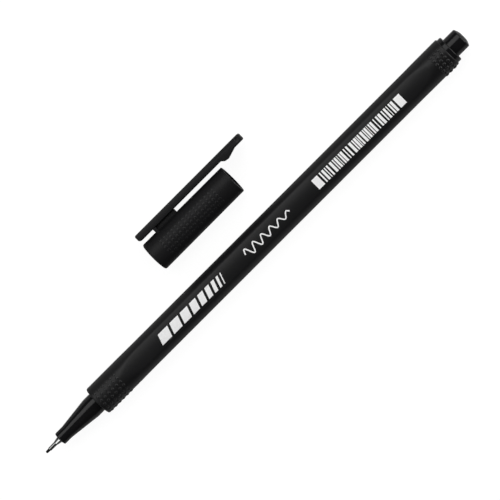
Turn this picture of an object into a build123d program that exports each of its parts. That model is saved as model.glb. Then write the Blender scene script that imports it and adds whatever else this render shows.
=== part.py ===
from build123d import *
import math
import os

# A fineliner pen with its cap lying beside it. All sizes are in millimetres.
# The pen's pieces are turned about X, with x measured from the nib's point towards the tail.
# The cap's pieces are turned the same way, with x measured from the cap's closed end.

# Nib: one capillary rod, ground to a rounded point
nib_diameter = 0.8
nib_point_diameter = 0.66
nib_point_round = 0.25
nib_exposed = 1.2
nib_grip = 10.0
nib_clearance = 0.02
nib_room = 0.6

# Steel sleeve round the nib, with a flared foot held in the nose
sleeve_exposed = 3.72
sleeve_front_diameter = 1.04
sleeve_waist_diameter = 1.12
sleeve_flare_length = 1.7
sleeve_foot_diameter = 1.85
sleeve_foot_length = 3.5

# Nose: short straight front, long cone, straight base and a hollow spigot in the barrel
nose_exposed = 13.72
nose_taper = 1.0
nose_front_length = 2.6
nose_base_length = 2.5
nose_edge_round = 0.35
nose_blend_radius = 8.0
nose_wall = 0.75
nose_spigot_length = 12.0
nib_guide_length = 1.5

# Film round the ink reservoir
film_thickness = 0.08

# Barrel: round tube with three crowned faces that run out before its ends
barrel_length = 125.86
barrel_diameter = 8.45
barrel_wall = 0.875
barrel_edge_round = 0.4
face_count = 3
face_inset = 0.5
face_crown_radius = 10.2
face_front_land = 9.3
face_front_runout = 8.0
face_rear_land = 5.85
face_rear_runout = 6.9
air_gap = 0.2
rib_width = 0.8
seat_step = 0.2

# Tail plug: spigot in the barrel, collar behind it, and a post that the cap fits
plug_spigot_length = 8.0
collar_step = 0.35
collar_length = 1.15
collar_edge_round = 0.3
post_length = 3.75
post_crown = 0.6
post_edge_round = 0.4
plug_wall = 0.75

# Fit of the cap on the nose's base and on the tail post
fit_step = 0.2
cap_clearance = 0.05

# Cap: tapered shell with a step for the liner and a foot for the clip
cap_length = 28.46
cap_wall = 1.265
cap_taper = 0.085
cap_end_wall = 1.2
cap_end_crown = 0.3
cap_end_round = 0.5
cap_mouth_round = 0.2
liner_step = 0.2
hollow_step = 0.4

# Liner cup that closes round the nose's front
seal_overlap = 2.0
seal_clearance = 0.03
seal_lead_in = 0.6
seal_end_wall = 0.8
seal_room = 1.0

# Clip arm with a bump that grips the cloth against the barrel
# Its foot on the cap is a narrow web with a wider rib at the front
clip_start = 0.5
clip_gap = 1.0
clip_thickness = 2.02
clip_width = 4.4
clip_overhang = 9.18
clip_end_round = 0.5
clip_heel_round = 0.7
clip_tip_round = 0.4
foot_start = 5.15
foot_length = 7.35
foot_web_width = 2.0
foot_rib_length = 0.9
foot_rib_width = 4.2
bump_start = 1.16
bump_steep_length = 0.8
bump_steep_share = 0.8
bump_flat_length = 0.95
bump_length = 4.8
bump_clearance = 0.1
bump_foot_round = 0.4
bump_top_round = 0.8
dimple_diameter = 1.35
dimple_depth = 0.2
dimple_from_tip = 1.2

# Where the cap lies: its closed end from the nib's point, and axis to axis
cap_lie = 54.63
cap_spacing = 15.69

# Stations along the pen
sleeve_front_x = nib_exposed
nose_front_x = sleeve_front_x + sleeve_exposed
barrel_front_x = nose_front_x + nose_exposed
barrel_rear_x = barrel_front_x + barrel_length
collar_rear_x = barrel_rear_x + collar_length
post_edge_x = collar_rear_x + post_length
pen_length = post_edge_x + post_crown
filler_front_x = barrel_front_x + nose_spigot_length
filler_rear_x = barrel_rear_x - plug_spigot_length

# Radii that pieces share
nib_radius = nib_diameter / 2
nib_hole_radius = nib_radius + nib_clearance
sleeve_foot_radius = sleeve_foot_diameter / 2
barrel_radius = barrel_diameter / 2
bore_radius = barrel_radius - face_inset - barrel_wall
film_radius = bore_radius - air_gap
filler_radius = film_radius - film_thickness
seat_radius = bore_radius + seat_step
fit_radius = seat_radius - fit_step
nose_front_radius = fit_radius - nose_taper
collar_radius = barrel_radius - collar_step
cap_bore_radius = fit_radius + cap_clearance
cap_mouth_radius = cap_bore_radius + cap_wall
cap_radius = cap_mouth_radius + cap_taper
liner_radius = cap_bore_radius - liner_step
clip_under_radius = cap_radius + clip_gap
clip_outer_radius = clip_under_radius + clip_thickness

# Stations along the cap, set by how the nose sits in it with its mouth against the barrel
nose_in_cap_x = cap_length - nose_exposed
point_in_cap_x = nose_in_cap_x - sleeve_exposed - nib_exposed
seal_mouth_x = nose_in_cap_x + seal_overlap
seal_inner_end_x = point_in_cap_x - seal_room
seal_back_x = seal_inner_end_x - seal_end_wall

# The pen and the cap lie on the same plane, and the origin is under the middle of both
pen_axis_y = -(cap_spacing + clip_outer_radius - barrel_radius) / 2
pen_place = Pos(-pen_length / 2, pen_axis_y, barrel_radius)
cap_place = Pos(cap_lie - pen_length / 2, pen_axis_y + cap_spacing, cap_radius)


def outline(*corners):
    """Flat face from (x, radius) corners; a third number rounds that corner."""
    points = [corner[:2] for corner in corners]
    rounds = [corner[2] if len(corner) > 2 else 0 for corner in corners]
    return make_face(FilletPolyline(*points, radius=rounds, close=True))


def turned(*corners):
    """Solid of revolution about the X axis."""
    return revolve(outline(*corners), Axis.X)


def nib():
    rear_x = filler_front_x + nib_grip
    return turned(
        (0, 0),
        (0, nib_point_diameter / 2, nib_point_round),
        (nib_exposed, nib_radius),
        (rear_x, nib_radius),
        (rear_x, 0),
    )


def nib_sleeve():
    rear_x = nose_front_x + sleeve_foot_length
    return turned(
        (sleeve_front_x, nib_hole_radius),
        (sleeve_front_x, sleeve_front_diameter / 2),
        (nose_front_x - sleeve_flare_length, sleeve_waist_diameter / 2),
        (nose_front_x, sleeve_foot_radius),
        (rear_x, sleeve_foot_radius),
        (rear_x, nib_hole_radius),
    )


def nose_cone():
    cone_front_x = nose_front_x + nose_front_length
    cone_rear_x = barrel_front_x - nose_base_length
    foot_rear_x = nose_front_x + sleeve_foot_length
    guide_rear_x = foot_rear_x + nib_guide_length
    cavity_radius = fit_radius - nose_wall
    front_round = min(nose_edge_round, (nose_front_radius - sleeve_foot_radius) / 2)
    return turned(
        (nose_front_x, sleeve_foot_radius),
        (nose_front_x, nose_front_radius, front_round),
        (cone_front_x, nose_front_radius, nose_blend_radius),
        (cone_rear_x, fit_radius, nose_blend_radius),
        (barrel_front_x, fit_radius),
        (barrel_front_x, seat_radius),
        (filler_front_x, seat_radius),
        (filler_front_x, cavity_radius),
        (cone_rear_x, cavity_radius),
        (guide_rear_x, nib_radius + nib_room),
        (guide_rear_x, nib_hole_radius),
        (foot_rear_x, nib_hole_radius),
        (foot_rear_x, sleeve_foot_radius),
    )


def ink_filler():
    hole_end_x = filler_front_x + nib_grip
    return turned(
        (filler_front_x, nib_radius),
        (filler_front_x, filler_radius),
        (filler_rear_x, filler_radius),
        (filler_rear_x, 0),
        (hole_end_x, 0),
        (hole_end_x, nib_radius),
    )


def filler_wrap():
    return turned(
        (filler_front_x, filler_radius),
        (filler_front_x, film_radius),
        (filler_rear_x, film_radius),
        (filler_rear_x, filler_radius),
    )


def face_spool():
    """Spool that trims one crowned face; its ends are wider than the round barrel."""
    past = 1.0
    rise = face_inset / 4
    front_angle = 2 * math.atan(face_inset / face_front_runout)
    rear_angle = 2 * math.atan(face_inset / face_rear_runout)
    front_radius = face_front_runout / math.sin(front_angle)
    rear_radius = face_rear_runout / math.sin(rear_angle)
    front_out_x = barrel_front_x + face_front_land
    rear_out_x = barrel_rear_x - face_rear_land
    front_corner_x = front_out_x + face_inset / math.tan(front_angle)
    rear_corner_x = rear_out_x - face_inset / math.tan(rear_angle)
    flange_radius = face_crown_radius + face_inset + rise
    spool = turned(
        (barrel_front_x - past, 0),
        (barrel_front_x - past, flange_radius),
        (front_out_x - rise / math.tan(front_angle), flange_radius),
        (front_corner_x, face_crown_radius, front_radius),
        (rear_corner_x, face_crown_radius, rear_radius),
        (rear_out_x + rise / math.tan(rear_angle), flange_radius),
        (barrel_rear_x + past, flange_radius),
        (barrel_rear_x + past, 0),
    )
    return Pos(0, 0, barrel_radius - face_inset - face_crown_radius) * spool


def barrel():
    turn = 360 / face_count
    body = turned(
        (barrel_front_x, 0),
        (barrel_front_x, barrel_radius, barrel_edge_round),
        (barrel_rear_x, barrel_radius, barrel_edge_round),
        (barrel_rear_x, 0),
    )
    for number in range(face_count):
        body &= Rot(number * turn, 0, 0) * face_spool()
    body -= turned(
        (barrel_front_x, 0),
        (barrel_front_x, seat_radius),
        (filler_front_x, seat_radius),
        (filler_front_x, bore_radius),
        (filler_rear_x, bore_radius),
        (filler_rear_x, seat_radius),
        (barrel_rear_x, seat_radius),
        (barrel_rear_x, 0),
    )
    # Ribs under the round lands hold the reservoir off the wall, so that air can pass
    rib_height = air_gap + seat_step
    rib = Box(filler_rear_x - filler_front_x, rib_width, rib_height)
    rib = Pos((filler_front_x + filler_rear_x) / 2, 0, film_radius + rib_height / 2) * rib
    for number in range(face_count):
        body += Rot((number + 0.5) * turn, 0, 0) * rib
    return body


def tail_plug():
    hollow_radius = fit_radius - plug_wall
    return turned(
        (filler_rear_x, hollow_radius),
        (filler_rear_x, seat_radius),
        (barrel_rear_x, seat_radius),
        (barrel_rear_x, collar_radius),
        (collar_rear_x, collar_radius, collar_edge_round),
        (collar_rear_x, fit_radius),
        (post_edge_x, fit_radius, post_edge_round),
        (pen_length, fit_radius / 2, fit_radius),
        (pen_length, 0),
        (post_edge_x - plug_wall, 0),
        (post_edge_x - plug_wall, hollow_radius),
    )


def cap_shell():
    hollow_radius = liner_radius - hollow_step
    crown_angle = math.atan(2 * cap_end_crown / cap_radius)
    crown_blend_radius = cap_radius / 3 / math.tan(crown_angle / 2)
    shell = turned(
        (0, 0),
        (0, cap_radius / 2, crown_blend_radius),
        (cap_end_crown, cap_radius, cap_end_round),
        (cap_length, cap_mouth_radius, cap_mouth_round),
        (cap_length, cap_bore_radius),
        (seal_mouth_x, cap_bore_radius),
        (seal_mouth_x, liner_radius),
        (seal_back_x, liner_radius),
        (seal_back_x, hollow_radius),
        (cap_end_wall, hollow_radius),
        (cap_end_wall, 0),
    )
    foot_base_radius = cap_bore_radius + cap_wall / 2
    foot_height = clip_under_radius - foot_base_radius
    foot_middle = foot_base_radius + foot_height / 2
    rib = Box(foot_rib_length, foot_height, foot_rib_width)
    web = Box(foot_length, foot_height, foot_web_width)
    shell += Pos(foot_start + foot_rib_length / 2, foot_middle, 0) * rib
    shell += Pos(foot_start + foot_length / 2, foot_middle, 0) * web
    return shell


def cap_inner_seal():
    bore_radius_at_nose = nose_front_radius + seal_clearance
    return turned(
        (seal_back_x, 0),
        (seal_back_x, liner_radius),
        (seal_mouth_x, liner_radius),
        (seal_mouth_x, bore_radius_at_nose + seal_lead_in),
        (seal_mouth_x - seal_lead_in, bore_radius_at_nose),
        (seal_inner_end_x, bore_radius_at_nose),
        (seal_inner_end_x, 0),
    )


def cap_clip():
    tip_x = cap_length + clip_overhang
    bump_x = cap_length + bump_start
    bump_drop = clip_under_radius - barrel_radius - bump_clearance
    steep_end_x = bump_x + bump_steep_length
    side = outline(
        (clip_start, clip_under_radius, clip_heel_round),
        (bump_x, clip_under_radius, bump_foot_round),
        (steep_end_x, clip_under_radius - bump_steep_share * bump_drop, bump_top_round),
        (steep_end_x + bump_flat_length, clip_under_radius - bump_drop, bump_top_round),
        (bump_x + bump_length, clip_under_radius, bump_top_round),
        (tip_x, clip_under_radius, clip_tip_round),
        (tip_x, clip_outer_radius, clip_tip_round),
        (clip_start, clip_outer_radius, clip_end_round),
    )
    arm = extrude(side, clip_width / 2, both=True)
    dimple_ball = ((dimple_diameter / 2) ** 2 + dimple_depth**2) / (2 * dimple_depth)
    ball_centre_z = clip_width / 2 + dimple_ball - dimple_depth
    middle_radius = (clip_under_radius + clip_outer_radius) / 2
    for side_sign in (1, -1):
        arm -= Pos(tip_x - dimple_from_tip, middle_radius, side_sign * ball_centre_z) * Sphere(dimple_ball)
    return arm


pen_pieces = [nib, nib_sleeve, nose_cone, ink_filler, filler_wrap, barrel, tail_plug]
cap_pieces = [cap_shell, cap_inner_seal, cap_clip]

os.makedirs("parts", exist_ok=True)
for place, pieces in ((pen_place, pen_pieces), (cap_place, cap_pieces)):
    for piece in pieces:
        export_step(place * piece(), f"parts/{piece.__name__}.step")
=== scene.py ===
import bmesh
import bpy
import math
from mathutils import Matrix, Vector


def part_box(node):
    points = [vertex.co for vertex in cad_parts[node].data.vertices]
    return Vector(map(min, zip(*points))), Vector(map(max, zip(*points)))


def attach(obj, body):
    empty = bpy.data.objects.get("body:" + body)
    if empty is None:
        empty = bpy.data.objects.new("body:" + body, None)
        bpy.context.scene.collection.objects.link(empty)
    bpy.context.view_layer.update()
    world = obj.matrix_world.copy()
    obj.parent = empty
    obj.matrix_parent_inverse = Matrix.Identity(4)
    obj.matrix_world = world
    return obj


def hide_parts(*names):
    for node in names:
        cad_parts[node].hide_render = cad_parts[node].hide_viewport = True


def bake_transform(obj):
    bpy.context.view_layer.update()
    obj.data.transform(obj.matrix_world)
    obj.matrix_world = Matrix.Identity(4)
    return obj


# A fineliner pen and its cap, dressed in the order in which the pen is put together.
# Each piece is shaped in millimetres about its own X axis, and then set in its place in metres.
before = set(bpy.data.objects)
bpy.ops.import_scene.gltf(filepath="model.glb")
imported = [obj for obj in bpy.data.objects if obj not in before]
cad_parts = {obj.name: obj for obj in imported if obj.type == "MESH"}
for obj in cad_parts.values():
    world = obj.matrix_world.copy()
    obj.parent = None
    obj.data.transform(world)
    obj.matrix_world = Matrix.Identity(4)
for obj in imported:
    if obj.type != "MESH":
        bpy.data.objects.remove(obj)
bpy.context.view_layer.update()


# Nib: a capillary rod of bonded fibres, ground to a rounded point and wet with black ink.
# It runs from the paper through the steel sleeve and the nose into the ink reservoir.

MM = 0.001

nib_low, nib_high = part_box("nib")
pen_place = Matrix.Translation((nib_low.x, (nib_low.y + nib_high.y) / 2, (nib_low.z + nib_high.z) / 2))
pen_place = pen_place @ Matrix.Scale(MM, 4)


def reach(node, origin_x):
    """A CAD node's front and rear in mm from a point on its axis, and half its height."""
    low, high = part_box(node)
    return (low.x - origin_x) / MM, (high.x - origin_x) / MM, (high.z - low.z) / 2 / MM


def linear(code):
    """A colour written as sRGB hex, in the linear values that shaders take."""
    parts = [int(code[at : at + 2], 16) / 255 for at in (1, 3, 5)]
    return [*(p / 12.92 if p <= 0.04045 else ((p + 0.055) / 1.055) ** 2.4 for p in parts), 1.0]


def feed(tree, node, given):
    """Gives a node's inputs plain values, sockets, or nodes whose first output they take."""
    for key, value in given.items():
        if isinstance(value, bpy.types.Node):
            value = value.outputs[0]
        if isinstance(value, bpy.types.NodeSocket):
            tree.links.new(value, node.inputs[key])
        else:
            node.inputs[key].default_value = value


def add(tree, kind, given=None, **settings):
    """Adds a node with these settings and feeds its inputs."""
    made = tree.nodes.new(kind)
    for name, value in settings.items():
        setattr(made, name, value)
    feed(tree, made, given or {})
    return made


def finish_named(name):
    """A new material with its tree, its shader and the coordinates of the piece that wears it."""
    material = bpy.data.materials.new(name)
    material.use_nodes = True
    tree = material.node_tree
    return material, tree, tree.nodes["Principled BSDF"], add(tree, "ShaderNodeTexCoord").outputs["Object"]


def outline(corners, longest):
    """Points round a half section; a third number rounds that corner, and long runs are divided."""
    arc_steps = 8
    bends = []
    for number, (x, radius, *rounding) in enumerate(corners):
        here = Vector((x, radius))
        if not rounding:
            bends.append(here)
            continue
        before = (Vector(corners[number - 1][:2]) - here).normalized()
        after = (Vector(corners[(number + 1) % len(corners)][:2]) - here).normalized()
        half = before.angle(after) / 2
        start = here + before * rounding[0] / math.tan(half)
        end = here + after * rounding[0] / math.tan(half)
        centre = here + (before + after).normalized() * rounding[0] / math.sin(half)
        for step in range(arc_steps + 1):
            spoke = start.lerp(end, step / arc_steps) - centre
            bends.append(centre + spoke.normalized() * rounding[0])
    points = []
    for here, following in zip(bends, bends[1:] + bends[:1]):
        parts = max(1, math.ceil((following - here).length / longest))
        points += [here.lerp(following, part / parts) for part in range(parts)]
    return points


def turned(corners, steps=96, longest=40.0):
    """Closed shape turned about X from a half section that goes once round the wall."""
    on_axis = 1e-6
    shape = bmesh.new()
    angles = [math.tau * step / steps for step in range(steps)]
    rings = []
    for x, radius in outline(corners, longest):
        if radius < on_axis:
            if rings and len(rings[-1]) == 1:
                continue
            rings.append([shape.verts.new((x, 0, 0))])
            continue
        rings.append([shape.verts.new((x, radius * math.sin(a), radius * math.cos(a))) for a in angles])
    for ring, following in zip(rings, rings[1:] + rings[:1]):
        for step in range(steps):
            quad = [ring[step % len(ring)], ring[(step + 1) % len(ring)]]
            quad += [following[(step + 1) % len(following)], following[step % len(following)]]
            corner_set = list(dict.fromkeys(quad))
            if len(corner_set) > 2:
                shape.faces.new(corner_set)
    bmesh.ops.recalc_face_normals(shape, faces=shape.faces)
    return shape


def piece_of(shape, name, material):
    """A piece with this shape, still in millimetres about its own axis."""
    mesh = bpy.data.meshes.new(name)
    shape.to_mesh(mesh)
    shape.free()
    mesh.materials.append(material)
    piece = bpy.data.objects.new(name, mesh)
    bpy.context.scene.collection.objects.link(piece)
    return piece


def lay_in(piece, place):
    """Puts a piece in its place and shades it smooth up to its real edges."""
    sharp_from = 32
    piece.data.transform(place)
    piece.data.shade_smooth()
    piece.data.set_sharp_from_angle(angle=math.radians(sharp_from))


def set_in(piece, place, body, slot, *nodes):
    """Puts a piece in its place and lets it ride on its body."""
    lay_in(piece, place)
    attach(piece, body)
    if nodes:
        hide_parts(*nodes)


def wet_fibre():
    """Bonded fibres soaked in black ink: dull, with fine lines along the rod."""
    fibre = 0.06
    drawn_out = 12
    material, tree, shader, place = finish_named("ink_wet_fibre_rod")
    along = add(tree, "ShaderNodeMapping", {"Vector": place, "Scale": (1 / drawn_out, 1, 1)})
    lines = add(tree, "ShaderNodeTexNoise", {"Vector": along, "Scale": 1 / (fibre * MM), "Detail": 2.0})
    tint = add(tree, "ShaderNodeValToRGB", {"Fac": lines})
    tint.color_ramp.elements[0].color = linear("#08080a")
    tint.color_ramp.elements[1].color = linear("#121214")
    bump = add(tree, "ShaderNodeBump", {"Height": lines, "Strength": 0.3, "Distance": 0.02 * MM})
    look = {"Base Color": tint, "Roughness": 0.6, "IOR": 1.45, "Specular IOR Level": 0.12, "Normal": bump}
    feed(tree, shader, look)
    return material


nib_front, nib_rear, nib_radius = reach("nib", nib_low.x)
nib_point_radius = 0.33
nib_point_round = 0.25
nib_taper = 1.2
nib_rod = piece_of(
    turned(
        [
            (nib_front, 0),
            (nib_front, nib_point_radius, nib_point_round),
            (nib_taper, nib_radius),
            (nib_rear, nib_radius),
            (nib_rear, 0),
        ],
        steps=32,
    ),
    "nib_rod",
    wet_fibre(),
)
set_in(nib_rod, pen_place, "pen", "nib_fibre", "nib")


# Sleeve: a thin tube of stainless steel, drawn to size, that guards the soft nib.
# It flares to a foot that the nose was moulded round.

sleeve_front, sleeve_rear, sleeve_foot_radius = reach("nib_sleeve", nib_low.x)
nose_front, nose_rear, nose_spigot_radius = reach("nose_cone", nib_low.x)
sleeve_front_radius = 0.52
sleeve_waist_radius = 0.56
sleeve_flare = 1.7
sleeve_room = 0.02
sleeve_hole_radius = nib_radius + sleeve_room
sleeve_lip_round = 0.05


def drawn_steel():
    """Bright drawn stainless steel: near mirror, with faint lines along the tube."""
    line = 0.05
    drawn_out = 40
    material, tree, shader, place = finish_named("bright_drawn_stainless_steel")
    along = add(tree, "ShaderNodeMapping", {"Vector": place, "Scale": (1 / drawn_out, 1, 1)})
    lines = add(tree, "ShaderNodeTexNoise", {"Vector": along, "Scale": 1 / (line * MM), "Detail": 2.0})
    rough = add(tree, "ShaderNodeMapRange", {"Value": lines, "To Min": 0.1, "To Max": 0.2})
    bump = add(tree, "ShaderNodeBump", {"Height": lines, "Strength": 0.15, "Distance": 0.01 * MM})
    look = {"Base Color": linear("#8e8f8e"), "Metallic": 1.0, "Roughness": rough, "Normal": bump}
    feed(tree, shader, look)
    return material


steel_sleeve = piece_of(
    turned(
        [
            (sleeve_front, sleeve_hole_radius),
            (sleeve_front, sleeve_front_radius, sleeve_lip_round),
            (nose_front - sleeve_flare, sleeve_waist_radius),
            (nose_front, sleeve_foot_radius),
            (sleeve_rear, sleeve_foot_radius),
            (sleeve_rear, sleeve_hole_radius),
        ],
        steps=48,
        longest=0.25,
    ),
    "steel_sleeve",
    drawn_steel(),
)
set_in(steel_sleeve, pen_place, "pen", "sleeve_steel", "nib_sleeve")


# Nose: black polypropylene from a polished mould, so it shows sharp reflections.
# A cone between two short straight stretches, with a spigot that is pressed into the barrel.

barrel_front, barrel_rear, barrel_radius = reach("barrel", nib_low.x)
fit_radius = 2.85
nose_front_radius = 1.85
nose_front_length = 2.6
nose_base_length = 2.5
nose_edge_round = 0.35
nose_blend_round = 8.0
nose_cavity_radius = 2.1
nose_guide_length = 1.5
nose_guide_wall = 0.6
nose_guide_rear = sleeve_rear + nose_guide_length
nose_guide_radius = nib_radius + nose_guide_wall


def polished_plastic():
    """Polypropylene from a polished mould: deep black and glossy, very slightly wavy."""
    wave = 2.5
    haze = 0.4
    material, tree, shader, place = finish_named("black_polypropylene_polished")
    soft = add(tree, "ShaderNodeTexNoise", {"Vector": place, "Scale": 1 / (haze * MM), "Detail": 3.0})
    rough = add(tree, "ShaderNodeMapRange", {"Value": soft, "To Min": 0.1, "To Max": 0.18})
    waves = add(tree, "ShaderNodeTexNoise", {"Vector": place, "Scale": 1 / (wave * MM), "Detail": 1.0})
    bump = add(tree, "ShaderNodeBump", {"Height": waves, "Strength": 0.25, "Distance": 0.02 * MM})
    look = {"Base Color": linear("#121213"), "IOR": 1.49, "Specular IOR Level": 0.245}
    feed(tree, shader, {**look, "Roughness": rough, "Normal": bump})
    return material


gloss_black = polished_plastic()
nose_piece = piece_of(
    turned(
        [
            (nose_front, sleeve_foot_radius),
            (nose_front, nose_front_radius, nose_edge_round),
            (nose_front + nose_front_length, nose_front_radius, nose_blend_round),
            (barrel_front - nose_base_length, fit_radius, nose_blend_round),
            (barrel_front, fit_radius),
            (barrel_front, nose_spigot_radius),
            (nose_rear, nose_spigot_radius),
            (nose_rear, nose_cavity_radius),
            (barrel_front - nose_base_length, nose_cavity_radius),
            (nose_guide_rear, nose_guide_radius),
            (nose_guide_rear, sleeve_hole_radius),
            (sleeve_rear, sleeve_hole_radius),
            (sleeve_rear, sleeve_foot_radius),
        ]
    ),
    "nose_piece",
    gloss_black,
)
set_in(nose_piece, pen_place, "pen", "gloss_plastic", "nose_cone")


# Ink reservoir: a bundle of bonded polyester fibre in a thin film sleeve, pushed into the barrel.
# Neither shows on the closed pen, so both keep their CAD shape and get their own finish.


def soaked_fibre():
    """Bonded polyester fibre soaked in ink: dark, dull and felted along its length."""
    strand = 0.12
    drawn_out = 8
    material, tree, shader, place = finish_named("ink_soaked_polyester_fibre")
    along = add(tree, "ShaderNodeMapping", {"Vector": place, "Scale": (1 / drawn_out, 1, 1)})
    felt = add(tree, "ShaderNodeTexNoise", {"Vector": along, "Scale": 1 / (strand * MM), "Detail": 4.0})
    tint = add(tree, "ShaderNodeValToRGB", {"Fac": felt})
    tint.color_ramp.elements[0].color = linear("#141418")
    tint.color_ramp.elements[1].color = linear("#4a4a52")
    bump = add(tree, "ShaderNodeBump", {"Height": felt, "Strength": 0.6, "Distance": 0.05 * MM})
    feed(tree, shader, {"Base Color": tint, "Roughness": 0.85, "Normal": bump})
    return material


def clear_film():
    """Thin clear film: smooth and see-through, with faint lengthwise creases."""
    crease = 0.8
    drawn_out = 20
    material, tree, shader, place = finish_named("clear_polypropylene_film")
    along = add(tree, "ShaderNodeMapping", {"Vector": place, "Scale": (1 / drawn_out, 1, 1)})
    creases = add(tree, "ShaderNodeTexNoise", {"Vector": along, "Scale": 1 / (crease * MM)})
    bump = add(tree, "ShaderNodeBump", {"Height": creases, "Strength": 0.3, "Distance": 0.05 * MM})
    feed(tree, shader, {"Base Color": linear("#e8e9ea"), "Roughness": 0.12, "Alpha": 0.35, "Normal": bump})
    return material


for node_name, material in (("ink_filler", soaked_fibre()), ("filler_wrap", clear_film())):
    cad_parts[node_name].data.materials.clear()
    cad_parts[node_name].data.materials.append(material)


# Barrel: a moulded tube of black polypropylene with a satin surface from a spark-eroded mould.
# Three gently crowned faces run between its round ends, and the face with the print looks up.

barrel_edge_round = 0.4
face_count = 3
face_inset = 0.5
face_crown_radius = 10.2
face_edge_softness = 0.15
front_land = 9.3
front_runout = 8.0
rear_land = 5.85
rear_runout = 6.9


def satin_plastic(name, colour, roughness, gloss):
    """Polypropylene from a spark-eroded mould: a fine even grain that spreads the light.
    The real grain is about 0.03 mm and is drawn coarser, so that it shows."""
    grain = 0.16
    cloud = 6.0
    spread = 0.03
    material, tree, shader, place = finish_named(name)
    drift = add(tree, "ShaderNodeTexNoise", {"Vector": place, "Scale": 1 / (cloud * MM), "Detail": 4.0})
    limits = {"Value": drift, "To Min": roughness - spread, "To Max": roughness + spread}
    rough = add(tree, "ShaderNodeMapRange", limits)
    grains = add(tree, "ShaderNodeTexNoise", {"Vector": place, "Scale": 1 / (grain * MM), "Detail": 2.0})
    bump = add(tree, "ShaderNodeBump", {"Height": grains, "Strength": 0.25, "Distance": 0.01 * MM})
    look = {"Base Color": linear(colour), "IOR": 1.49, "Specular IOR Level": gloss}
    feed(tree, shader, {**look, "Roughness": rough, "Normal": bump})
    return material


def new_tree(name, sizes):
    """A Geometry Nodes tree with a material input and a named input for each size."""
    tree = bpy.data.node_groups.new(name, "GeometryNodeTree")
    for label, kind in {"Geometry": "Geometry", "Material": "Material", **sizes}.items():
        tree.interface.new_socket(label, in_out="INPUT", socket_type="NodeSocket" + kind)
    tree.interface.new_socket("Geometry", in_out="OUTPUT", socket_type="NodeSocketGeometry")
    return tree, add(tree, "NodeGroupInput").outputs


def close_tree(tree, given, geometry):
    """Ends a tree with real geometry in the material that it was given."""
    real = add(tree, "GeometryNodeRealizeInstances", {"Geometry": geometry})
    dressed = add(tree, "GeometryNodeSetMaterial", {"Geometry": real, "Material": given["Material"]})
    add(tree, "NodeGroupOutput", {"Geometry": dressed})


def worked(piece, tree, sizes):
    """Runs a tree on a piece with these sizes and keeps the result as the piece's own mesh."""
    given = {"Material": piece.data.materials[0], **sizes}
    modifier = piece.modifiers.new(tree.name, "NODES")
    modifier.node_group = tree
    for socket in tree.interface.items_tree:
        if socket.in_out == "INPUT" and socket.name in given:
            modifier[socket.identifier] = given[socket.name]
    evaluated = piece.evaluated_get(bpy.context.evaluated_depsgraph_get())
    result = bpy.data.meshes.new_from_object(evaluated)
    piece.modifiers.remove(modifier)
    piece.data = result
    return piece


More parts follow.
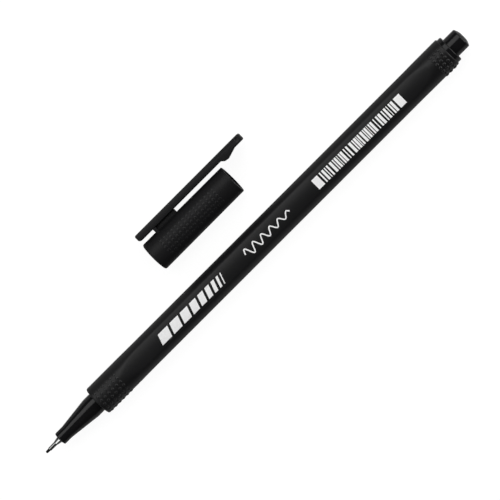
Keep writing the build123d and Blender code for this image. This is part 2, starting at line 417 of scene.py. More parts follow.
def crowned_faces():
    """Pulls the round wall in to crowned faces that run out softly towards both ends."""
    sizes = ["Radius", "Inset", "Crown radius", "Softness", "Face count"]
    sizes += ["Front deep", "Front runout", "Rear deep", "Rear runout"]
    tree, given = new_tree("crowned faces", dict.fromkeys(sizes, "Float"))
    position = add(tree, "GeometryNodeInputPosition")
    split = add(tree, "ShaderNodeSeparateXYZ", {0: position})
    angle = add(tree, "ShaderNodeMath", {0: split.outputs["Y"], 1: split.outputs["Z"]}, operation="ARCTAN2")
    half_turn = add(tree, "ShaderNodeMath", {0: math.pi, 1: given["Face count"]}, operation="DIVIDE")
    other_half = add(tree, "ShaderNodeMath", {0: half_turn, 1: -1.0}, operation="MULTIPLY")
    off_face = add(tree, "ShaderNodeMath", {0: angle, 1: half_turn, 2: other_half}, operation="WRAP")

    # The face rises with the square of the way past its deep stretch, at either end
    rises = []
    for end, sign in (("Front", -1.0), ("Rear", 1.0)):
        way = {0: split.outputs["X"], 1: given[end + " deep"]}
        past = add(tree, "ShaderNodeMath", way, operation="SUBTRACT")
        outward = add(tree, "ShaderNodeMath", {0: past, 1: sign}, operation="MULTIPLY")
        only_past = add(tree, "ShaderNodeMath", {0: outward, 1: 0.0}, operation="MAXIMUM")
        share = add(tree, "ShaderNodeMath", {0: only_past, 1: given[end + " runout"]}, operation="DIVIDE")
        rises.append(add(tree, "ShaderNodeMath", {0: share, 1: 2.0}, operation="POWER"))
    rise_share = add(tree, "ShaderNodeMath", {0: rises[0], 1: rises[1]}, operation="ADD")
    rise = add(tree, "ShaderNodeMath", {0: rise_share, 1: given["Inset"]}, operation="MULTIPLY")
    crown = add(tree, "ShaderNodeMath", {0: rise, 1: given["Crown radius"]}, operation="ADD")

    # Distance from the pen's axis to the crown, whose own axis runs beside it, away from the face
    deepest = add(tree, "ShaderNodeMath", {0: given["Crown radius"], 1: given["Inset"]}, operation="ADD")
    drop = add(tree, "ShaderNodeMath", {0: deepest, 1: given["Radius"]}, operation="SUBTRACT")
    cosine = add(tree, "ShaderNodeMath", {0: off_face}, operation="COSINE")
    sine = add(tree, "ShaderNodeMath", {0: off_face}, operation="SINE")
    drop_along = add(tree, "ShaderNodeMath", {0: drop, 1: cosine}, operation="MULTIPLY")
    drop_across = add(tree, "ShaderNodeMath", {0: drop, 1: sine}, operation="MULTIPLY")
    crown_square = add(tree, "ShaderNodeMath", {0: crown, 1: 2.0}, operation="POWER")
    across_square = add(tree, "ShaderNodeMath", {0: drop_across, 1: drop_across}, operation="MULTIPLY")
    left = add(tree, "ShaderNodeMath", {0: crown_square, 1: across_square}, operation="SUBTRACT")
    chord = add(tree, "ShaderNodeMath", {0: left}, operation="SQRT")
    face = add(tree, "ShaderNodeMath", {0: chord, 1: drop_along}, operation="SUBTRACT")

    # The wall keeps to the nearer of face and round, with a softened edge between them
    limits = {0: face, 1: given["Radius"], 2: given["Softness"]}
    limit = add(tree, "ShaderNodeMath", limits, operation="SMOOTH_MIN")
    flat = add(tree, "ShaderNodeVectorMath", {0: position, 1: (0, 1, 1)}, operation="MULTIPLY")
    radius = add(tree, "ShaderNodeVectorMath", {0: flat}, operation="LENGTH").outputs["Value"]
    kept = add(tree, "ShaderNodeMath", {0: radius, 1: limit}, operation="MINIMUM")
    shrink = add(tree, "ShaderNodeMath", {0: kept, 1: radius}, operation="DIVIDE")
    scale = add(tree, "ShaderNodeCombineXYZ", {"X": 1.0, "Y": shrink, "Z": shrink})
    moved = add(tree, "ShaderNodeVectorMath", {0: position, 1: scale}, operation="MULTIPLY")
    pulled_in = {"Geometry": given["Geometry"], "Position": moved}
    close_tree(tree, given, add(tree, "GeometryNodeSetPosition", pulled_in))
    return tree


barrel_black = satin_plastic("black_polypropylene_satin_barrel", "#111112", 0.42, 0.265)
barrel_piece = piece_of(
    turned(
        [
            (barrel_front, nose_spigot_radius),
            (barrel_front, barrel_radius, barrel_edge_round),
            (barrel_rear, barrel_radius, barrel_edge_round),
            (barrel_rear, nose_spigot_radius),
        ],
        steps=180,
        longest=0.9,
    ),
    "barrel_piece",
    barrel_black,
)
worked(
    barrel_piece,
    crowned_faces(),
    {
        "Radius": barrel_radius,
        "Inset": face_inset,
        "Crown radius": face_crown_radius,
        "Softness": face_edge_softness,
        "Face count": float(face_count),
        "Front deep": barrel_front + front_land + front_runout,
        "Front runout": front_runout,
        "Rear deep": barrel_rear - rear_land - rear_runout,
        "Rear runout": rear_runout,
    },
)
set_in(barrel_piece, pen_place, "pen", "barrel_plastic", "barrel")


# Grip dots: low domes moulded with the barrel, in straight rows round both of its ends.
# One strip on the cap's side stays smooth. The dots are set a hair into the wall that they grow from.

dot_sink = 0.06
dot_rows = 17
dot_step = math.tau / 21
smooth_strip_at = math.radians(70)


def dome(radius, height, sink, sides=8):
    """One dot: a low closed dome with a short skirt below the surface."""
    shoulder = (0.8, 0.6)
    crest = (0.42, 0.93)
    shape = bmesh.new()
    levels = [(radius, -sink), (radius, 0.0)]
    levels += [(share * radius, rise * height) for share, rise in (shoulder, crest)]
    angles = [math.tau * side / sides for side in range(sides)]
    rings = []
    for ring_radius, level in levels:
        spots = [(ring_radius * math.cos(a), ring_radius * math.sin(a), level) for a in angles]
        rings.append([shape.verts.new(spot) for spot in spots])
    for ring, above in zip(rings, rings[1:]):
        for side in range(sides):
            following = (side + 1) % sides
            shape.faces.new((ring[side], ring[following], above[following], above[side]))
    shape.faces.new(rings[0][::-1])
    top = shape.verts.new((0, 0, height))
    for side in range(sides):
        shape.faces.new((rings[-1][side], rings[-1][(side + 1) % sides], top))
    return shape


def dot_grid():
    """Sets the given dot in groups of rows that are spread round the axis, with columns along it."""
    sizes = {"Columns": "Int", "Rows": "Int", "Groups": "Int", "First": "Float", "Pitch": "Float"}
    sizes.update({"Step": "Float", "Middle": "Float", "Radius": "Float", "Taper": "Float"})
    tree, given = new_tree("dot grid", sizes)
    index = add(tree, "GeometryNodeInputIndex")
    column = add(tree, "ShaderNodeMath", {0: index, 1: given["Columns"]}, operation="FLOORED_MODULO")
    line_share = add(tree, "ShaderNodeMath", {0: index, 1: given["Columns"]}, operation="DIVIDE")
    line = add(tree, "ShaderNodeMath", {0: line_share}, operation="FLOOR")
    row = add(tree, "ShaderNodeMath", {0: line, 1: given["Rows"]}, operation="FLOORED_MODULO")
    group_share = add(tree, "ShaderNodeMath", {0: line, 1: given["Rows"]}, operation="DIVIDE")
    group = add(tree, "ShaderNodeMath", {0: group_share}, operation="FLOOR")
    middle_row = add(tree, "ShaderNodeMath", {0: given["Rows"], 1: 0.5, 2: -0.5}, operation="MULTIPLY_ADD")
    off_middle = add(tree, "ShaderNodeMath", {0: row, 1: middle_row}, operation="SUBTRACT")
    in_group = {0: off_middle, 1: given["Step"], 2: given["Middle"]}
    group_turn = add(tree, "ShaderNodeMath", in_group, operation="MULTIPLY_ADD")
    apart = add(tree, "ShaderNodeMath", {0: math.tau, 1: given["Groups"]}, operation="DIVIDE")
    turn = add(tree, "ShaderNodeMath", {0: group, 1: apart, 2: group_turn}, operation="MULTIPLY_ADD")
    way = add(tree, "ShaderNodeMath", {0: column, 1: given["Pitch"]}, operation="MULTIPLY")
    along = add(tree, "ShaderNodeMath", {0: way, 1: given["First"]}, operation="ADD")
    tapered = {0: way, 1: given["Taper"], 2: given["Radius"]}
    radius = add(tree, "ShaderNodeMath", tapered, operation="MULTIPLY_ADD")
    sine = add(tree, "ShaderNodeMath", {0: turn}, operation="SINE")
    cosine = add(tree, "ShaderNodeMath", {0: turn}, operation="COSINE")
    across = add(tree, "ShaderNodeMath", {0: radius, 1: sine}, operation="MULTIPLY")
    up = add(tree, "ShaderNodeMath", {0: radius, 1: cosine}, operation="MULTIPLY")
    spot = add(tree, "ShaderNodeCombineXYZ", {"X": along, "Y": across, "Z": up})
    in_line = add(tree, "ShaderNodeMath", {0: given["Columns"], 1: given["Rows"]}, operation="MULTIPLY")
    count = add(tree, "ShaderNodeMath", {0: in_line, 1: given["Groups"]}, operation="MULTIPLY")
    points = add(tree, "GeometryNodePoints", {"Count": count, "Position": spot})
    lean = add(tree, "ShaderNodeMath", {0: turn, 1: -1.0}, operation="MULTIPLY")
    facing = add(tree, "FunctionNodeEulerToRotation", {0: add(tree, "ShaderNodeCombineXYZ", {"X": lean})})
    chosen = {"Points": points, "Instance": given["Geometry"], "Rotation": facing}
    close_tree(tree, given, add(tree, "GeometryNodeInstanceOnPoints", chosen))
    return tree


dots = dot_grid()
dot_black = satin_plastic("black_polypropylene_smooth_dots", "#111112", 0.3, 0.32)
for name, radius, height, columns, first, pitch in (
    ("grip_dots_front", 0.43, 0.13, 6, 19.87, 1.37),
    ("grip_dots_rear", 0.52, 0.2, 3, 140.32, 1.35),
):
    grip = piece_of(dome(radius, height, dot_sink), name, dot_black)
    worked(
        grip,
        dots,
        {
            "Columns": columns,
            "Rows": dot_rows,
            "Groups": 1,
            "Step": dot_step,
            "Middle": smooth_strip_at - math.pi,
            "First": first,
            "Pitch": pitch,
            "Radius": barrel_radius,
            "Taper": 0.0,
        },
    )
    set_in(grip, pen_place, "pen", "barrel_plastic")


# Print: white pad-printing ink on the upper face, in a film too thin to feel.
# Three plain marks fill its three places: strokes from broad to fine, a wavy line and a bar band.

ink_film = 0.015
print_shift = -0.27
face_drop = face_crown_radius + face_inset - barrel_radius


def printing_ink():
    """White pad-printing ink: flat and opaque, a little thin in places where the pad lifted."""
    mottle = 0.35
    material, tree, shader, place = finish_named("white_pad_printing_ink")
    thin = add(tree, "ShaderNodeTexNoise", {"Vector": place, "Scale": 1 / (mottle * MM), "Detail": 3.0})
    tint = add(tree, "ShaderNodeValToRGB", {"Fac": thin})
    tint.color_ramp.elements[0].color = linear("#f0f0f0")
    tint.color_ramp.elements[1].color = linear("#ffffff")
    bump = add(tree, "ShaderNodeBump", {"Height": thin, "Strength": 0.1, "Distance": 0.01 * MM})
    feed(tree, shader, {"Base Color": tint, "Roughness": 0.5, "Normal": bump})
    return material


def laid_on_face(tree, given, geometry):
    """Bends a flat mark round the crown's axis, so that it lies on the barrel's upper face."""
    split = add(tree, "ShaderNodeSeparateXYZ", {0: add(tree, "GeometryNodeInputPosition")})
    shifted = add(tree, "ShaderNodeMath", {0: split.outputs["Y"], 1: given["Shift"]}, operation="ADD")
    turn = add(tree, "ShaderNodeMath", {0: shifted, 1: given["Crown radius"]}, operation="DIVIDE")
    lift = add(tree, "ShaderNodeMath", {0: split.outputs["Z"], 1: given["Crown radius"]}, operation="ADD")
    sine = add(tree, "ShaderNodeMath", {0: turn}, operation="SINE")
    cosine = add(tree, "ShaderNodeMath", {0: turn}, operation="COSINE")
    across = add(tree, "ShaderNodeMath", {0: lift, 1: sine}, operation="MULTIPLY")
    up = add(tree, "ShaderNodeMath", {0: lift, 1: cosine}, operation="MULTIPLY")
    height = add(tree, "ShaderNodeMath", {0: up, 1: given["Drop"]}, operation="SUBTRACT")
    spot = add(tree, "ShaderNodeCombineXYZ", {"X": split.outputs["X"], "Y": across, "Z": height})
    return add(tree, "GeometryNodeSetPosition", {"Geometry": geometry, "Position": spot})


def bar_band():
    """A row of bars between two widths, in order or in a golden-section rhythm, upright or slanted."""
    golden = 0.618034
    kinds = {"Count": "Int", "Solid ends": "Bool"}
    names = ["Start", "Length", "Height", "End width", "Widest", "Finest", "Widest gap", "Finest gap"]
    names += ["Order", "Slant"]
    kinds.update(dict.fromkeys(names + ["Shift", "Crown radius", "Drop", "Film"], "Float"))
    tree, given = new_tree("bar band", kinds)
    index = add(tree, "GeometryNodeInputIndex")
    last = add(tree, "ShaderNodeMath", {0: given["Count"], 1: 1.0}, operation="SUBTRACT")
    in_order = add(tree, "ShaderNodeMath", {0: index, 1: last}, operation="DIVIDE")
    rhythm = add(tree, "ShaderNodeMath", {0: index, 1: golden}, operation="MULTIPLY")
    mixed = add(tree, "ShaderNodeMath", {0: rhythm}, operation="FRACT")
    rhythm_squared = add(tree, "ShaderNodeMath", {0: rhythm, 1: rhythm}, operation="MULTIPLY")
    mixed_gap = add(tree, "ShaderNodeMath", {0: rhythm_squared}, operation="FRACT")
    chosen = {"Value": given["Order"], "From Min": 0.0, "From Max": 1.0, "To Min": mixed, "To Max": in_order}
    share = add(tree, "ShaderNodeMapRange", chosen)
    limits = {"Value": share, "To Min": given["Widest"], "To Max": given["Finest"]}
    width = add(tree, "ShaderNodeMapRange", limits)
    limits = {"Value": mixed_gap, "To Min": given["Widest gap"], "To Max": given["Finest gap"]}
    gap = add(tree, "ShaderNodeMapRange", limits)
    is_first = add(tree, "FunctionNodeCompare", {2: index, 3: 0}, data_type="INT", operation="EQUAL")
    is_last = add(tree, "FunctionNodeCompare", {2: index, 3: last}, data_type="INT", operation="EQUAL")
    is_end = add(tree, "FunctionNodeBooleanMath", {0: is_first, 1: is_last}, operation="OR")
    is_solid = add(tree, "FunctionNodeBooleanMath", {0: is_end, 1: given["Solid ends"]}, operation="AND")
    ends = {"Switch": is_solid, "False": width, "True": given["End width"]}
    true_width = add(tree, "GeometryNodeSwitch", ends, input_type="FLOAT")
    pace = add(tree, "ShaderNodeMath", {0: true_width, 1: gap}, operation="ADD")
    sums = add(tree, "GeometryNodeAccumulateField", {"Value": pace}).outputs
    fit = add(tree, "ShaderNodeMath", {0: given["Length"], 1: sums["Total"]}, operation="DIVIDE")
    half_on = {0: true_width, 1: 0.5, 2: sums["Trailing"]}
    middle = add(tree, "ShaderNodeMath", half_on, operation="MULTIPLY_ADD")
    along = add(tree, "ShaderNodeMath", {0: middle, 1: fit, 2: given["Start"]}, operation="MULTIPLY_ADD")
    fitted = add(tree, "ShaderNodeMath", {0: true_width, 1: fit}, operation="MULTIPLY")
    points = add(tree, "GeometryNodePoints", {"Count": given["Count"]})
    spot = add(tree, "ShaderNodeCombineXYZ", {"X": along})
    points = add(tree, "GeometryNodeSetPosition", {"Geometry": points, "Position": spot})
    scale = add(tree, "ShaderNodeCombineXYZ", {"X": fitted, "Y": given["Height"], "Z": given["Film"]})
    placed = {"Points": points, "Instance": given["Geometry"], "Scale": scale}
    bars = add(tree, "GeometryNodeInstanceOnPoints", placed)
    real = add(tree, "GeometryNodeRealizeInstances", {"Geometry": bars})
    split = add(tree, "ShaderNodeSeparateXYZ", {0: add(tree, "GeometryNodeInputPosition")})
    lean = add(tree, "ShaderNodeMath", {0: split.outputs["Y"], 1: given["Slant"]}, operation="MULTIPLY")
    slanted = {"Geometry": real, "Offset": add(tree, "ShaderNodeCombineXYZ", {"X": lean})}
    close_tree(tree, given, laid_on_face(tree, given, add(tree, "GeometryNodeSetPosition", slanted)))
    return tree


def wavy_line():
    """One pen stroke that swings from side to side and calms down towards its end."""
    steps = 160
    names = ["Start", "Length", "Height", "Waves", "Calm", "Stroke", "Shift", "Crown radius", "Drop", "Film"]
    tree, given = new_tree("wavy line", dict.fromkeys(names, "Float"))
    stretch = add(tree, "ShaderNodeMath", {0: given["Start"], 1: given["Length"]}, operation="ADD")
    ends = {
        "Start": add(tree, "ShaderNodeCombineXYZ", {"X": given["Start"]}),
        "End": add(tree, "ShaderNodeCombineXYZ", {"X": stretch}),
    }
    line = add(tree, "GeometryNodeCurvePrimitiveLine", ends)
    points = add(tree, "GeometryNodeResampleCurve", {"Curve": line, "Count": steps})
    share = add(tree, "GeometryNodeSplineParameter").outputs["Factor"]
    swings = add(tree, "ShaderNodeMath", {0: share, 1: given["Waves"]}, operation="MULTIPLY")
    turn = add(tree, "ShaderNodeMath", {0: swings, 1: math.tau}, operation="MULTIPLY")
    sine = add(tree, "ShaderNodeMath", {0: turn}, operation="SINE")
    calmed = add(tree, "ShaderNodeMath", {0: share, 1: given["Calm"]}, operation="MULTIPLY")
    left = add(tree, "ShaderNodeMath", {0: 1.0, 1: calmed}, operation="SUBTRACT")
    half = add(tree, "ShaderNodeMath", {0: given["Height"], 1: 0.5}, operation="MULTIPLY")
    swing = add(tree, "ShaderNodeMath", {0: half, 1: left}, operation="MULTIPLY")
    across = add(tree, "ShaderNodeMath", {0: swing, 1: sine}, operation="MULTIPLY")
    offset = add(tree, "ShaderNodeCombineXYZ", {"Y": across})
    wave = add(tree, "GeometryNodeSetPosition", {"Geometry": points, "Offset": offset})
    upright = add(tree, "GeometryNodeSetCurveNormal", {"Curve": wave}, mode="Z_UP")
    section = {"Width": given["Stroke"], "Height": given["Film"]}
    profile = add(tree, "GeometryNodeCurvePrimitiveQuadrilateral", section)
    swept = {"Curve": upright, "Profile Curve": profile, "Fill Caps": True}
    ribbon = add(tree, "GeometryNodeCurveToMesh", swept)
    close_tree(tree, given, laid_on_face(tree, given, ribbon))
    return tree


def slab(across):
    """A flat slab, divided across so that it can bend round the face."""
    shape = bmesh.new()
    rows = []
    for step in range(across + 1):
        y = step / across - 0.5
        rows.append([shape.verts.new((x, y, z)) for x, z in ((-0.5, -1), (0.5, -1), (0.5, 1), (-0.5, 1))])
    for row, following in zip(rows, rows[1:]):
        for side in range(4):
            nxt = (side + 1) % 4
            shape.faces.new((row[side], row[nxt], following[nxt], following[side]))
    shape.faces.new(rows[0][::-1])
    shape.faces.new(rows[-1])
    bmesh.ops.recalc_face_normals(shape, faces=shape.faces)
    return shape


white_ink = printing_ink()
on_face = {"Shift": print_shift, "Crown radius": face_crown_radius, "Drop": face_drop, "Film": ink_film}
bars = bar_band()
broad_to_fine = {
    "Count": 9,
    "Solid ends": False,
    "Start": 41.4,
    "Length": 23.2,
    "Height": 2.85,
    "End width": 0.0,
    "Widest": 3.4,
    "Finest": 0.3,
    "Widest gap": 0.75,
    "Finest gap": 0.75,
    "Order": 1.0,
    "Slant": 0.35,
}
band = {
    "Count": 33,
    "Solid ends": True,
    "Start": 97.1,
    "Length": 31.75,
    "Height": 3.07,
    "End width": 2.5,
    "Widest": 0.95,
    "Finest": 0.22,
    "Widest gap": 0.75,
    "Finest gap": 0.2,
    "Order": 0.0,
    "Slant": 0.0,
}
for name, sizes in (("print_strokes", broad_to_fine), ("print_band", band)):
    mark = worked(piece_of(slab(across=12), name, white_ink), bars, {**on_face, **sizes})
    set_in(mark, pen_place, "pen", "barrel_plastic")
wave_sizes = {"Start": 72.1, "Length": 15.8, "Height": 2.6, "Waves": 5.5, "Calm": 0.55, "Stroke": 0.34}
wave_mark = worked(piece_of(slab(across=1), "print_wave", white_ink), wavy_line(), {**on_face, **wave_sizes})
set_in(wave_mark, pen_place, "pen", "barrel_plastic")


# Tail plug: black polypropylene from a polished mould, pressed into the barrel's rear.
# Its collar stops it there, and the post behind the collar holds the cap while the pen writes.

plug_front, plug_rear, collar_radius = reach("tail_plug", nib_low.x)
collar_length = 1.15
collar_edge_round = 0.3
post_crown = 0.6
post_edge_round = 0.4
plug_hollow_radius = 2.1
plug_wall = 0.75
plug_piece = piece_of(
    turned(
        [
            (plug_rear - post_crown - plug_wall, 0),
            (plug_rear - post_crown - plug_wall, plug_hollow_radius),
            (plug_front, plug_hollow_radius),
            (plug_front, nose_spigot_radius),
            (barrel_rear, nose_spigot_radius),
            (barrel_rear, collar_radius),
            (barrel_rear + collar_length, collar_radius, collar_edge_round),
            (barrel_rear + collar_length, fit_radius),
            (plug_rear - post_crown, fit_radius, post_edge_round),
            (plug_rear, fit_radius / 2, fit_radius),
            (plug_rear, 0),
        ]
    ),
    "plug_piece",
    gloss_black,
)
set_in(plug_piece, pen_place, "pen", "gloss_plastic", "tail_plug")


# Cap: a tapered shell of black polypropylene, a little duller than the barrel.
# A web with a wider rib at its front carries the clip. A patch of low dots lies on top and one below.

cap_low, cap_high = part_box("cap_shell")
seal_low, seal_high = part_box("cap_inner_seal")
cap_middle = (seal_low + seal_high) / 2
cap_place = Matrix.Translation((cap_low.x, cap_middle.y, cap_middle.z)) @ Matrix.Scale(MM, 4)
seal_back, seal_mouth, liner_radius = reach("cap_inner_seal", cap_low.x)
clip_front, clip_tip, clip_half_width = reach("cap_clip", cap_low.x)
cap_length = (cap_high.x - cap_low.x) / MM
cap_radius = 4.25
cap_mouth_radius = 4.165
cap_bore_radius = 2.9
cap_hollow_radius = 2.3
cap_end_wall = 1.2
cap_end_crown = 0.3
cap_end_round = 0.5
cap_mouth_round = 0.2
clip_gap = 1.0
foot_start = 5.15
foot_length = 7.35
foot_web_width = 2.0
foot_rib_length = 0.9
foot_rib_width = 4.2
foot_edge_round = 0.15
cap_dot_radius = 0.42
cap_dot_height = 0.085
cap_dot_columns = 15
cap_dot_rows = 5
cap_dot_step = math.radians(15.3)
cap_dot_middle = math.radians(-3.5)
cap_dot_first = 4.63
cap_dot_pitch = 1.31


def bevelled_box(low, high, width):
    """A box between two corners with its edges rounded."""
    shape = bmesh.new()
    middle = (Vector(low) + Vector(high)) / 2
    size = Vector(high) - Vector(low)
    bmesh.ops.create_cube(shape, size=1, matrix=Matrix.Translation(middle) @ Matrix.Diagonal((*size, 1)))
    bmesh.ops.bevel(shape, geom=shape.edges, offset=width, segments=3, profile=0.5, affect="EDGES")
    return shape


def carved(piece, other, operation):
    """Joins another shape to a piece, or cuts it away, and keeps one closed mesh."""
    weld = 0.001
    modifier = piece.modifiers.new("carve", "BOOLEAN")
    modifier.object = other
    modifier.operation = operation
    modifier.solver = "EXACT"
    evaluated = piece.evaluated_get(bpy.context.evaluated_depsgraph_get())
    result = bpy.data.meshes.new_from_object(evaluated)
    piece.modifiers.remove(modifier)
    bpy.data.objects.remove(other)
    shape = bmesh.new()
    shape.from_mesh(result)
    bmesh.ops.remove_doubles(shape, verts=shape.verts, dist=weld)
    bmesh.ops.dissolve_degenerate(shape, edges=shape.edges, dist=weld)
    shape.to_mesh(result)
    shape.free()
    piece.data = result


cap_black = satin_plastic("black_polypropylene_satin_cap", "#151516", 0.46, 0.155)
cap_crown_angle = math.atan(2 * cap_end_crown / cap_radius)
cap_crown_reach = cap_radius / 3
cap_crown_blend = cap_crown_reach / math.tan(cap_crown_angle / 2)
cap_piece = piece_of(
    turned(
        [
            (0, 0),
            (0, cap_radius / 2, cap_crown_blend),
            (cap_end_crown, cap_radius, cap_end_round),
            (cap_length, cap_mouth_radius, cap_mouth_round),
            (cap_length, cap_bore_radius),
            (seal_mouth, cap_bore_radius),
            (seal_mouth, liner_radius),
            (seal_back, liner_radius),
            (seal_back, cap_hollow_radius),
            (cap_end_wall, cap_hollow_radius),
            (cap_end_wall, 0),
        ],
        steps=128,
    ),
    "cap_piece",
    cap_black,
)
foot_base = (cap_bore_radius + cap_radius) / 2
for length, width in ((foot_rib_length, foot_rib_width), (foot_length, foot_web_width)):
    foot_low = (foot_start, foot_base, -width / 2)
    foot_high = (foot_start + length, cap_radius + clip_gap, width / 2)
    foot = piece_of(bevelled_box(foot_low, foot_high, foot_edge_round), "cap_foot", cap_black)
    carved(cap_piece, foot, "UNION")
set_in(cap_piece, cap_place, "cap", "cap_plastic", "cap_shell")

cap_dot_black = satin_plastic("black_polypropylene_smooth_cap_dots", "#151516", 0.35, 0.23)
cap_dots = piece_of(dome(cap_dot_radius, cap_dot_height, dot_sink), "cap_dots", cap_dot_black)
worked(
    cap_dots,
    dots,
    {
        "Columns": cap_dot_columns,
        "Rows": cap_dot_rows,
        "Groups": 2,
        "Step": cap_dot_step,
        "Middle": cap_dot_middle,
        "First": cap_dot_first,
        "Pitch": cap_dot_pitch,
        "Radius": cap_radius + (cap_mouth_radius - cap_radius) * cap_dot_first / cap_length,
        "Taper": (cap_mouth_radius - cap_radius) / cap_length,
    },
)
set_in(cap_dots, cap_place, "cap", "cap_plastic")


# Cap liner: a soft cup of natural polyethylene in the cap's end.
# It closes round the nose's front, so that the nib stays wet.


def natural_polyethylene():
    """Undyed soft polyethylene: milky, waxy and slightly see-through."""
    cloud = 1.5
    scatter = 1.0 * MM
    material, tree, shader, place = finish_named("natural_polyethylene_moulded")
    milk = add(tree, "ShaderNodeTexNoise", {"Vector": place, "Scale": 1 / (cloud * MM), "Detail": 2.0})
    tint = add(tree, "ShaderNodeValToRGB", {"Fac": milk})
    tint.color_ramp.elements[0].color = linear("#a9a9a6")
    tint.color_ramp.elements[1].color = linear("#bebebb")
    inside = {"Subsurface Weight": 0.3, "Subsurface Radius": (scatter, scatter, scatter)}
    feed(tree, shader, {"Base Color": tint, "Roughness": 0.5, "IOR": 1.51, **inside})
    return material


seal_room = 0.03
seal_bore_radius = nose_front_radius + seal_room
seal_lead_in = 0.6
seal_end_wall = 0.8
seal_piece = piece_of(
    turned(
        [
            (seal_back, 0),
            (seal_back, liner_radius),
            (seal_mouth, liner_radius),
            (seal_mouth, seal_bore_radius + seal_lead_in),
            (seal_mouth - seal_lead_in, seal_bore_radius),
            (seal_back + seal_end_wall, seal_bore_radius),
            (seal_back + seal_end_wall, 0),
        ]
    ),
    "seal_piece",
    natural_polyethylene(),
)
set_in(seal_piece, cap_place, "cap", "seal_plastic", "cap_inner_seal")


# Clip: a long lever of the cap's own plastic on the cap's foot, with a bump past the mouth.
# It springs away from the barrel when something is pushed under it; here it is only set in its place, unbent.

clip_thickness = 2.02
clip_end_round = 0.5
clip_heel_round = 0.7
clip_tip_round = 0.4
clip_edge_round = 0.28
bump_start = 1.16
bump_steep_length = 0.8
bump_steep_share = 0.8
bump_flat_length = 0.95
bump_length = 4.8
bump_clearance = 0.1
bump_foot_round = 0.4
bump_top_round = 0.8
dimple_radius = 0.675
dimple_depth = 0.2
dimple_from_tip = 1.2


def clip_arm(corners, half_width, edge_round):
    """The clip's side outline, given its width and soft edges all round."""
    longest = 2.0
    shape = bmesh.new()
    front = [shape.verts.new((x, height, -half_width)) for x, height in outline(corners, longest)]
    side = shape.faces.new(front)
    grown = bmesh.ops.extrude_face_region(shape, geom=[side])["geom"]
    verts = [part for part in grown if isinstance(part, bmesh.types.BMVert)]
    bmesh.ops.translate(shape, verts=verts, vec=(0, 0, 2 * half_width))
    bmesh.ops.recalc_face_normals(shape, faces=shape.faces)
    rim = [edge for edge in shape.edges if abs(edge.verts[0].co.z - edge.verts[1].co.z) < half_width]
    bmesh.ops.bevel(shape, geom=rim, offset=edge_round, segments=3, profile=0.5, affect="EDGES")
    return shape


clip_black = satin_plastic("black_polypropylene_satin_clip", "#121213", 0.46, 0.265)
clip_under = cap_radius + clip_gap
clip_outer = clip_under + clip_thickness
bump_x = cap_length + bump_start
bump_drop = clip_under - barrel_radius - bump_clearance
steep_end = bump_x + bump_steep_length
clip_piece = piece_of(
    clip_arm(
        [
            (clip_front, clip_under, clip_heel_round),
            (bump_x, clip_under, bump_foot_round),
            (steep_end, clip_under - bump_steep_share * bump_drop, bump_top_round),
            (steep_end + bump_flat_length, clip_under - bump_drop, bump_top_round),
            (bump_x + bump_length, clip_under, bump_top_round),
            (clip_tip, clip_under, clip_tip_round),
            (clip_tip, clip_outer, clip_tip_round),
            (clip_front, clip_outer, clip_end_round),
        ],
        clip_half_width,
        clip_edge_round,
    ),
    "clip_piece",
    clip_black,
)
dimple_ball = (dimple_radius**2 + dimple_depth**2) / (2 * dimple_depth)
for side in (1, -1):
    ball = bmesh.new()
    centre = (clip_tip - dimple_from_tip, (clip_under + clip_outer) / 2)
    ball_place = Matrix.Translation((*centre, side * (clip_half_width + dimple_ball - dimple_depth)))
    bmesh.ops.create_icosphere(ball, subdivisions=5, radius=dimple_ball, matrix=ball_place)
    carved(clip_piece, piece_of(ball, "dimple", clip_black), "DIFFERENCE")
lay_in(clip_piece, cap_place)
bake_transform(clip_piece)
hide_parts("cap_clip")


# Studio: a white table under one broad softbox on the cap's side and two smaller lamps off the ends.
# The room is dark but for a faint horizon. The camera sees table and background white, and reflections
# see them much weaker, so the black plastic shows mostly the lamps.

floor_drop = 0.25
floor_half = 6.0
floor_glow = 0.92
floor_mirrored = 0.1


def white_table():
    """Matt white paper, lifted to white for the camera and only faintly in reflections."""
    fibre = 0.5
    material, tree, shader, place = finish_named("matt_white_paper")
    ways = add(tree, "ShaderNodeLightPath").outputs
    papers = {0: ways["Is Camera Ray"], 6: linear("#b4b4b4"), 7: linear("#6c6c6c")}
    paper = add(tree, "ShaderNodeMix", papers, data_type="RGBA").outputs[2]
    faint = {0: ways["Is Glossy Ray"], 1: floor_mirrored}
    mirrored = add(tree, "ShaderNodeMath", faint, operation="MULTIPLY")
    seen = add(tree, "ShaderNodeMath", {0: ways["Is Camera Ray"], 1: mirrored}, operation="MAXIMUM")
    seen = add(tree, "ShaderNodeMath", {0: seen, 1: ways["Is Transmission Ray"]}, operation="MAXIMUM")
    glow = add(tree, "ShaderNodeMath", {0: seen, 1: floor_glow}, operation="MULTIPLY")
    fibres = add(tree, "ShaderNodeTexNoise", {"Vector": place, "Scale": 1 / (fibre * MM)})
    bump = add(tree, "ShaderNodeBump", {"Height": fibres, "Strength": 0.05, "Distance": 0.01 * MM})
    look = {"Base Color": paper, "Roughness": 0.9, "Specular IOR Level": 0.0, "Normal": bump}
    feed(tree, shader, {**look, "Emission Color": linear("#ffffff"), "Emission Strength": glow})
    return material


table_shape = bmesh.new()
bmesh.ops.create_grid(table_shape, x_segments=1, y_segments=1, size=floor_half)
table = piece_of(table_shape, "table", white_table())
table.location.z = -floor_drop * MM


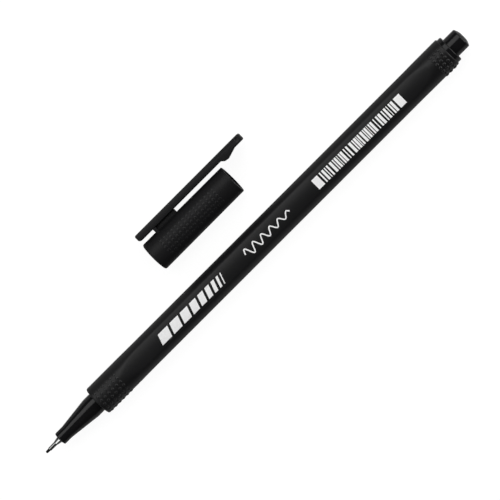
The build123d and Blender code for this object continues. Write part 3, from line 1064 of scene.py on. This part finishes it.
def lamp(name, direction, distance, width, length, radiance):
    """A rectangular lamp that faces the pen; at a radiance of 1 it looks as bright as white."""
    end_on = 0.5
    light = bpy.data.lights.new(name, "AREA")
    light.shape = "RECTANGLE"
    light.size = length
    light.size_y = width
    light.energy = radiance * math.pi * width * length
    holder = bpy.data.objects.new(name, light)
    bpy.context.scene.collection.objects.link(holder)
    aim = Vector(direction).normalized()
    level = Vector((1, 0, 0)) if abs(aim.x) < end_on else Vector((0, 1, 0))
    upward = aim.cross(level).normalized()
    across = upward.cross(aim)
    facing = Matrix((across, upward, aim)).transposed().to_4x4()
    holder.matrix_world = Matrix.Translation(aim * distance) @ facing
    holder.visible_camera = False


softbox_from = math.radians(15)
softbox_to = math.radians(58)
softbox_distance = 0.7
softbox_lean = (softbox_from + softbox_to) / 2
softbox_width = 2 * softbox_distance * math.tan((softbox_to - softbox_from) / 2)
lamp(
    "softbox",
    direction=(0.2, math.sin(softbox_lean), math.cos(softbox_lean)),
    distance=softbox_distance,
    width=softbox_width,
    length=1.15,
    radiance=2.1,
)
lamp("tail_lamp", direction=(0.9, -0.28, 0.33), distance=0.8, width=0.45, length=0.75, radiance=4.0)
lamp("nib_lamp", direction=(-0.632, -0.06, 0.775), distance=0.84, width=0.18, length=0.8, radiance=3.6)

horizon_height = 0.12
horizon_light = 0.2
overhead_light = 0.045
sky_mirrored = 0.05
room = bpy.data.worlds.new("dark_room_white_horizon")
bpy.context.scene.world = room
room.use_nodes = True
room_tree = room.node_tree
room_tree.nodes.clear()
looked_at = add(room_tree, "ShaderNodeTexCoord").outputs["Generated"]
upward = add(room_tree, "ShaderNodeSeparateXYZ", {0: looked_at}).outputs["Z"]
heights = {"Value": upward, "From Min": 0.0, "From Max": horizon_height}
fading = {**heights, "To Min": horizon_light, "To Max": overhead_light}
fade = add(room_tree, "ShaderNodeMapRange", fading)
room_ways = add(room_tree, "ShaderNodeLightPath").outputs
mirrored = {0: room_ways["Is Glossy Ray"], 1: sky_mirrored, 2: room_ways["Is Camera Ray"]}
shown = add(room_tree, "ShaderNodeMath", mirrored, operation="MULTIPLY_ADD")
shown = add(room_tree, "ShaderNodeMath", {0: shown, 1: room_ways["Is Transmission Ray"]}, operation="MAXIMUM")
level = add(room_tree, "ShaderNodeMath", {0: fade, 1: shown}, operation="MAXIMUM")
sky = add(room_tree, "ShaderNodeBackground", {"Color": linear("#ffffff"), "Strength": level})
add(room_tree, "ShaderNodeOutputWorld", {"Surface": sky})


# Camera: nearly straight above, leaning a little towards the tail.
# The pen runs up to the right, from the nib at the lower left.

view_width = 126.86
camera_distance = 1.4
camera_lean = math.radians(4.8)
sensor = 36
pen_axis = pen_place.translation
aim_along = -1.55
aim_across = -0.175
aim_at = Vector((aim_along * MM, pen_axis.y + aim_across * MM, pen_axis.z))
back = Vector((math.sin(camera_lean), 0, math.cos(camera_lean)))
along_pen = Vector((math.cos(camera_lean), 0, -math.sin(camera_lean)))
across_pen = Vector((0, 1, 0))
right = (along_pen - across_pen).normalized()
up = (along_pen + across_pen).normalized()
camera_data = bpy.data.cameras.new("camera")
camera_data.sensor_width = sensor
camera_data.lens = sensor * camera_distance / (view_width * MM)
camera = bpy.data.objects.new("camera", camera_data)
bpy.context.scene.collection.objects.link(camera)
turned_to = Matrix((right, up, back)).transposed().to_4x4()
camera.matrix_world = Matrix.Translation(aim_at + back * camera_distance) @ turned_to
bpy.context.scene.camera = camera
bpy.context.scene.view_settings.view_transform = "Standard"
